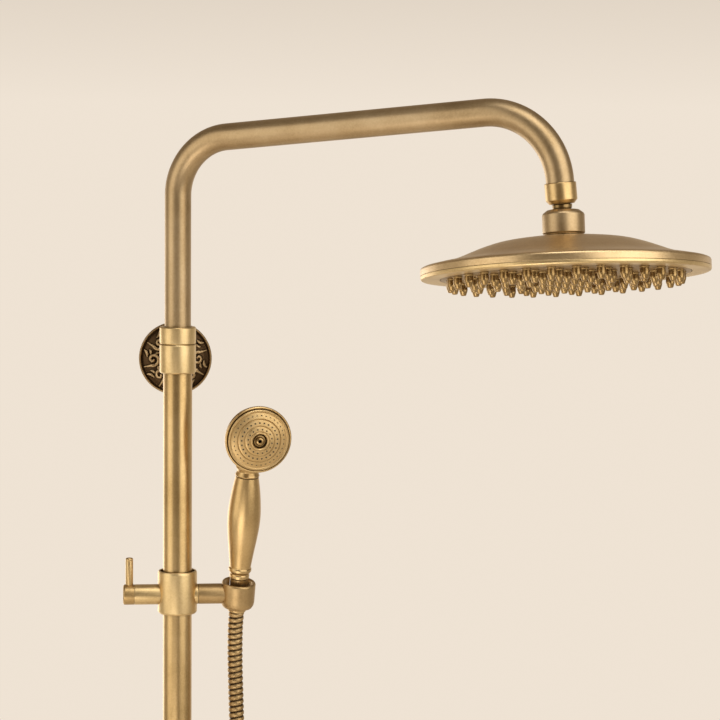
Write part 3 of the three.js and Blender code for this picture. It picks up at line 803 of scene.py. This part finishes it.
# ---------------------------------------------------------------- slider and its holder
slider = Build().lathe(
    [
        (12.4, -14.5), (13.9, -14.5), (15, -12.9), (15, 16.9), (14.4, 18.4), (13.5, 18.5), (13.3, 18),
        (13.3, 12.8), (12.4, 12.6),
    ],
    BARREL, Z_UP, closed=True, fillet=0.9,
)
slider.lathe(
    [(0, -33), (7.6, -33), (7.75, -32.85), (7.75, -12.7), (0, -12.7)], BARREL, X_RIGHT, fillet=0.3
)
slider.lathe(
    [(0, 12.7), (7.75, 12.7), (7.75, 15.7), (7.5, 15.9), (0, 15.9)], BARREL, X_RIGHT, fillet=0.2
)
slider.done("slider_collar_look", PALE, "slider", ["slider_collar"])
turned(
    "lock_cap",
    [(0, -41.5), (6.6, -41.5), (7.5, -40.9), (7.75, -40.1), (7.75, -33.25), (7.6, -33.1), (0, -33.1)],
    "lock", place=BARREL, axis=X_RIGHT, mat=CROSSWISE, fillet=0.5,
)
turned(
    "lock_lever_pin",
    [
        (0, 3.6), (1.8, 3.6), (1.8, 7.3), (2.9, 7.3), (2.9, 25.9), (2.75, 26.2), (2.9, 26.5),
        (2.9, 27.6), (2.2, 28.4), (0, 28.6),
    ],
    "lock", place=(-36.7, -60, -176.5), sides=64, fillet=0.4,
)


def cup():
    """The cup with its slot towards the wall, and its barrel."""
    half_slot = 6.4
    outline = rounded(
        [
            (7.7, -11.6), (8.9, -11.6), (11.4, -10.3), (12.6, -8.2), (13, -5.6), (13, 8.4), (12.3, 9.5),
            (11.2, 9.5), (10.6, 8.7), (10.2, -3), (7.7, -10.8),
        ],
        0.8, True,
    )
    steps = 96
    verts = []
    for r, z in outline:
        gap = math.asin(min(0.98, half_slot / r))
        first, last = math.pi / 2 + gap, math.pi / 2 - gap + 2 * math.pi
        for k in range(steps + 1):
            a = first + (last - first) * k / steps
            verts.append((r * math.cos(a), r * math.sin(a), z))
    faces, row, count = [], steps + 1, len(outline)
    for j in range(count):
        m = (j + 1) % count
        for k in range(steps):
            faces.append((j * row + k, j * row + k + 1, m * row + k + 1, m * row + k))
    faces.append(tuple(j * row for j in range(count)))
    faces.append(tuple(j * row + steps for j in range(count))[::-1])
    made = Build().add(stand(verts, CUP, HANDSET_AXIS), faces)
    barrel = [
        (0, 16.9), (7.32, 16.9), (7.32, 16.05), (7.6, 16.05), (7.75, 16.2), (7.75, 36.8), (0, 36.8),
    ]
    made.lathe(barrel, BARREL, X_RIGHT, fillet=0.2)
    made.done("holder_cup_look", DUSKY, "holder", ["holder_cup"])


cup()

# ---------------------------------------------------------------- hand shower
ON_CUP = dict(place=CUP, axis=HANDSET_AXIS)
vase = smooth_line(
    [(8.2, 22.3), (9.5, 33), (11.3, 46), (12.4, 57), (12.5, 66), (11.6, 77), (10.2, 87), (8.8, 94.7)], 8
)
turned(
    "handset_handle",
    [
        (2.8, -8.6), (5.3, -8.6), (5.3, 5), (6.7, 5.6), (6.9, 12.4), (7.6, 13.6), (7.6, 15.8),
        (7.1, 16.8), (7.9, 17.8), (8.8, 19.2), (8.8, 21.0), (8.1, 21.9),
        *[(r, z, 0) for r, z in vase], (5.6, 94.7), (5.6, 101), (2.8, 101),
    ],
    "handset", fillet=0.5, **ON_CUP,
)
turned(
    "handset_neck_ring",
    [
        (5.95, 95), (8.6, 95), (9.3, 96.2), (8.3, 98.2), (7.9, 99.2), (8.3, 100.4), (9.2, 102),
        (8.7, 103.2), (5.95, 103.2),
    ],
    "handset", fillet=0.5, **ON_CUP,
)
shell = Build().lathe(
    [
        (0, -23.5), (7, -22.9, 6), (13.6, -20.6, 6), (19.2, -16.6, 6), (22.6, -12, 6), (24.2, -8, 6),
        (25.4, -3.4, 1), (25.5, -0.6), (24.8, 0), (24.0, -0.4), (23.9, -3.2), (22.2, -3.4),
        (20.6, -9.6), (13, -18.4), (0, -21.3),
    ],
    FACE_AT, FACE_NORMAL, sides=128, fillet=0.4,
)
shell.lathe(
    [(0, 103.4), (7.2, 103.4), (7.6, 103.9), (7.6, 116.5), (0, 116.5)], CUP, HANDSET_AXIS, fillet=0.3
)
shell.done("handset_shell_look", BRASS, "handset", ["handset_shell"])
# Rings of spray holes, each a dark disc of painted shade: radius, count, size, and the face's height there
HOLES = [(18.9, 34, 0.66, 1.37), (13.8, 25, 0.66, 3.3), (9.2, 16, 0.6, 4.66)]
face = Build().lathe(
    [
        (5.2, -2.6), (23.5, -2.6), (23.5, 0.6), (22.9, 1.2), (22.0, 1.2), (21.5, 0.8), (21.1, 0.7),
        (20.7, 0.95), (17.0, 2.0), (16.6, 1.7), (16.1, 2.7), (15.4, 3.0), (12.0, 3.65), (11.6, 3.35),
        (11.1, 4.2), (10.4, 4.45), (7.9, 4.9), (7.5, 4.6), (7.0, 5.4), (6.2, 5.55), (5.6, 5.0),
        (5.2, 3.4),
    ],
    FACE_AT, FACE_NORMAL, sides=160, closed=True, fillet=0.3,
)
turn_face = Z_UP.rotation_difference(FACE_NORMAL).to_matrix()
for radius, count, size, top in HOLES:
    hole = [(0, top - 0.5), (size, top - 0.3), (size, top + 0.1), (0, top + 0.12)]
    for i in range(count):
        a = 2 * math.pi * i / count
        spot = FACE_AT + turn_face @ Vector((radius * math.cos(a), radius * math.sin(a), 0))
        face.lathe(hole, spot, FACE_NORMAL, 12, mat=1, fillet=0)
face.done("handset_face_look", [FACE, HOLE_SHADE], "handset", ["handset_face"])
turned(
    "centre_jet",
    [(0.9, -2.4), (4.8, -2.4), (4.8, 3.0), (4.3, 3.5), (3.5, 3.6), (2.7, 4.9), (1.5, 5.3), (0.9, 4.2)],
    "handset", place=FACE_AT, axis=FACE_NORMAL, mat=SHINY, slot="polished_brass", sides=64, fillet=0.3,
)

# ---------------------------------------------------------------- mixer
INLET_X = 75
mixer = Build().lathe(
    [
        (0, -92), (16.4, -92), (17.6, -91.2), (18, -90), (18, -52), (17.3, -51.2), (18, -50.4),
        (18, 50.4), (17.3, 51.2), (18, 52), (18, 90), (17.6, 91.2), (16.4, 92), (0, 92),
    ],
    MIXER, X_RIGHT, fillet=0.5,
)
mixer.lathe([(0, 8), (15.6, 8), (16, 21.2), (15.2, 22), (13, 22.4), (13, 34), (0, 34)], MIXER, fillet=0.6)
mixer.lathe([(0, -27), (11.2, -27), (12, -26.2), (13.5, -16), (13.5, -6), (0, -6)], MIXER, fillet=0.6)
mixer.lathe([(0, 8), (15, 8), (15, 25.2), (14.2, 26), (0, 26)], MIXER, OUT, fillet=0.5)
for x in (-INLET_X, INLET_X):
    mixer.lathe(
        [(0, 6), (13, 6), (13, 23.4), (12.4, 24), (0, 24)], MIXER + X_RIGHT * x, -OUT, fillet=0.4
    )
mixer.done("mixer_body_look", CROSSWISE, "column", ["mixer_body"])
turned(
    "riser_union_nut",
    [
        (13.4, 22.6), (16.4, 22.6), (18.4, 24.2), (18.4, 50.4), (16.4, 52), (11.45, 52), (11.45, 35.6),
        (13.4, 35.6),
    ],
    "column", place=MIXER, fillet=0.3, wobble=hexed(18.4),
)
for end, sign in (("hot", -1), ("cold", 1)):
    inlet = (sign * INLET_X, 0, -1000)
    outwards = Vector((sign, 0, 0))
    turned(
        f"inlet_union_nut_{end}",
        [
            (11.25, 22), (16.4, 22), (18.4, 23.6), (18.4, 39.9), (16.4, 41.5), (13.4, 41.5),
            (13.4, 35.6), (11.25, 35.6),
        ],
        "column", place=inlet, axis=OUT, fillet=0.3, wobble=hexed(18.4),
    )
    turned(
        f"inlet_coupling_{end}", [(6.5, 0.3), (10.8, 0.3), (10.8, 35.2), (6.5, 35.2)], "column",
        place=inlet, axis=OUT, fillet=0.4,
    )
    turned(
        f"inlet_flange_{end}",
        [
            (11.25, 0), (30, 0), (30, 2.2), (28.2, 4.2), (25, 4.9), (21, 6.6), (17.5, 8.8), (15, 11),
            (14, 12.2), (13.6, 13), (11.25, 13),
        ],
        "column", place=inlet, axis=OUT, sides=128, fillet=1.2,
    )
    turned(
        f"bonnet_{end}",
        [
            (6.3, 72), (11, 72), (11, 92.4), (15, 92.4), (15.6, 93), (15.6, 94.6), (14.6, 95.6),
            (12.4, 97.6), (11.4, 100), (11, 103.8), (6.3, 103.8),
        ],
        "column", place=MIXER, axis=outwards, fillet=0.5,
    )
    handle_body = f"{end}_handle"
    turned(
        f"spindle_{end}", [(0, 74), (5.8, 74), (5.8, 116.6), (5.4, 117), (0, 117)], handle_body,
        place=MIXER, axis=outwards, mat=SHINY, slot="polished_brass", sides=48, fillet=0.3,
    )
    cross = Build().lathe(
        [
            (6.15, 104.3), (9.3, 104.3), (10.6, 105.2), (12.3, 107.6), (12.5, 109), (12.5, 123),
            (12, 125.4), (10.9, 127.6), (10, 128), (8.4, 128), (8.4, 126.4), (6.15, 126.4),
        ],
        MIXER, outwards, closed=True, fillet=0.6,
    )
    middle = MIXER + outwards * 116
    for spoke_axis in (Z_UP, -Z_UP, -OUT, OUT):
        cross.lathe(
            [
                (0, 8), (4.9, 8), (4.5, 12), (3.7, 15), (3.5, 18), (3.5, 23.6), (4.1, 25), (5.6, 26.8),
                (6.1, 29.2), (6.0, 31), (5.2, 33.4), (3.2, 35.2), (0, 35.8),
            ],
            middle, spoke_axis, sides=48, fillet=0.6,
        )
    cross.done(f"handle_{end}_look", BRASS, handle_body, [f"handle_{end}"])
    button = Build().lathe(
        [(0, 126.8), (8, 126.8), (8, 128.4), (7.2, 129.2), (6.4, 129.6), (3.4, 129.9), (0, 130)],
        MIXER, outwards, sides=64, fillet=0.3,
    )
    button.lathe(
        [(0, 129.7), (3, 129.8), (2.8, 130.3), (0, 130.7)], MIXER, outwards, sides=48, fillet=0.3, mat=1
    )
    button.done(
        f"index_button_{end}_look", [CERAMIC, RED if end == "hot" else BLUE], handle_body,
        [f"index_button_{end}"], "glazed_ceramic",
    )
turned(
    "diverter_bonnet",
    [
        (5.4, 12.4), (10.6, 12.4), (10.6, 26.4), (13.8, 26.4), (14.4, 27), (14.4, 28.8), (13.2, 29.8),
        (11, 31.6), (10.3, 33.4), (10, 35.4), (5.4, 35.4),
    ],
    "column", place=MIXER, axis=OUT, fillet=0.5,
)
turned(
    "diverter_spindle", [(0, 14), (5, 14), (5, 46.6), (4.6, 47), (0, 47)], "diverter",
    place=MIXER, axis=OUT, mat=SHINY, slot="polished_brass", sides=48, fillet=0.3,
)
knob = Build().lathe(
    [
        (5.35, 35.9), (8.4, 35.9), (10.4, 37.2), (11.8, 39.4), (12.6, 42), (12.6, 50), (11.6, 52.8),
        (9.6, 54.4), (6, 55.4), (0, 55.8),
    ],
    MIXER, OUT, fillet=0.6,
)
knob.lathe([(5.35, 35.9), (5.35, 47.5), (0, 47.5)], MIXER, OUT, fillet=0)
knob.lathe(
    [
        (0, 6), (3.8, 6), (3.4, 12), (3, 16), (3, 21), (3.4, 22.6), (4.5, 24.4), (4.7, 26.4),
        (4.2, 28.6), (2.6, 30), (0, 30.4),
    ],
    MIXER + OUT * 46, Z_UP, sides=48, fillet=0.6,
)
knob.done("diverter_knob_look", BRASS, "diverter", ["diverter_knob"])
turned(
    "hose_outlet_nipple",
    [
        (4.5, -48), (9.6, -48), (9.6, -32), (12, -31.6), (12.4, -31), (12.4, -27.9), (12, -27.3),
        (6.6, -27.3), (6.6, -18), (4.5, -18),
    ],
    "column", place=MIXER, fillet=0.3,
)

# ---------------------------------------------------------------- floor, light
FLOOR_Z = -1.46
FLOOR_HALF = 3.4
FLOOR_STEPS = 24
FLOOR_GLOW = 0.2


def floor():
    mesh = bpy.data.meshes.new("floor")
    ticks = [-FLOOR_HALF + 2 * FLOOR_HALF * i / FLOOR_STEPS for i in range(FLOOR_STEPS + 1)]
    grid = [(x, y, FLOOR_Z) for y in ticks for x in ticks]
    row = FLOOR_STEPS + 1
    corners_at = [j * row + i for j in range(FLOOR_STEPS) for i in range(FLOOR_STEPS)]
    quads = [(k, k + 1, k + row + 1, k + row) for k in corners_at]
    mesh.from_pydata(grid, [], quads)
    pale = plain("floor_pale", (0.80, 0.74, 0.66), (0.84, 0.79, 0.71), 0.85, 3, bump=0.02)
    glow = pale.node_tree.nodes["Principled BSDF"].inputs
    glow["Emission Color"].default_value = (0.86, 0.77, 0.66, 1)
    glow["Emission Strength"].default_value = FLOOR_GLOW
    mesh.materials.append(pale)
    o = bpy.data.objects.new("floor", mesh)
    bpy.context.scene.collection.objects.link(o)


floor()


def lamp(name, at, aim, size, power, colour):
    data = bpy.data.lights.new(name, "AREA")
    data.shape, data.size, data.size_y = "RECTANGLE", size[0], size[1]
    data.energy, data.color = power, colour
    o = bpy.data.objects.new(name, data)
    o.location = at
    o.rotation_euler = (Vector(aim) - Vector(at)).to_track_quat("-Z", "Y").to_euler()
    bpy.context.scene.collection.objects.link(o)


lamp("key", (1.3, -1.5, 0.7), (0.05, -0.08, -0.1), (2.0, 2.6), 32, (1.0, 0.965, 0.91))
lamp("fill", (-1.75, -0.9, 0.3), (0.05, -0.08, -0.2), (1.6, 2.4), 16, (1.0, 0.95, 0.87))
lamp("top", (0.2, -1.0, 1.9), (0.1, -0.1, 0), (1.4, 1.0), 12, (1.0, 0.98, 0.95))
lamp("behind", (-0.9, 1.7, -0.6), (0, 0, -0.5), (1.4, 1.4), 10, (1.0, 0.97, 0.93))
lamp("low", (-0.7, -1.7, -1.1), (0, -0.08, -0.9), (1.2, 0.8), 9, (1.0, 0.95, 0.9))

# The surroundings: a pale wall towards +Y that darkens overhead, and a dim room towards -Y
world = bpy.data.worlds.new("studio")
bpy.context.scene.world = world
world.use_nodes = True
wt = world.node_tree
ground = wt.nodes["Background"]
direction = wt.nodes.new("ShaderNodeTexCoord")
split = wt.nodes.new("ShaderNodeSeparateXYZ")
wt.links.new(direction.outputs["Generated"], split.inputs[0])


def spread_of(output, low, high):
    made = wt.nodes.new("ShaderNodeMapRange")
    made.inputs["From Min"].default_value = low
    made.inputs["From Max"].default_value = high
    wt.links.new(split.outputs[output], made.inputs["Value"])
    return made.outputs["Result"]


WALL = (0.86, 0.765, 0.655)
level_tone = ramp(
    wt, spread_of("Y", -1, 1),
    [(0.0, (0.17, 0.135, 0.10)), (0.3, (0.26, 0.215, 0.165)), (0.7, (0.50, 0.44, 0.36)), (0.93, WALL)],
)
overhead = ramp(
    wt, spread_of("Z", 0.02, 0.42),
    [(0.0, (1, 1, 1)), (0.45, (0.54, 0.50, 0.45)), (1.0, (0.42, 0.38, 0.34))],
)
sky = wt.nodes.new("ShaderNodeMix")
sky.data_type, sky.blend_type = "RGBA", "MULTIPLY"
sky.inputs[0].default_value = 1.0
wt.links.new(level_tone, sky.inputs[6])
wt.links.new(overhead, sky.inputs[7])
wt.links.new(sky.outputs[2], ground.inputs["Color"])
ground.inputs["Strength"].default_value = 1.0
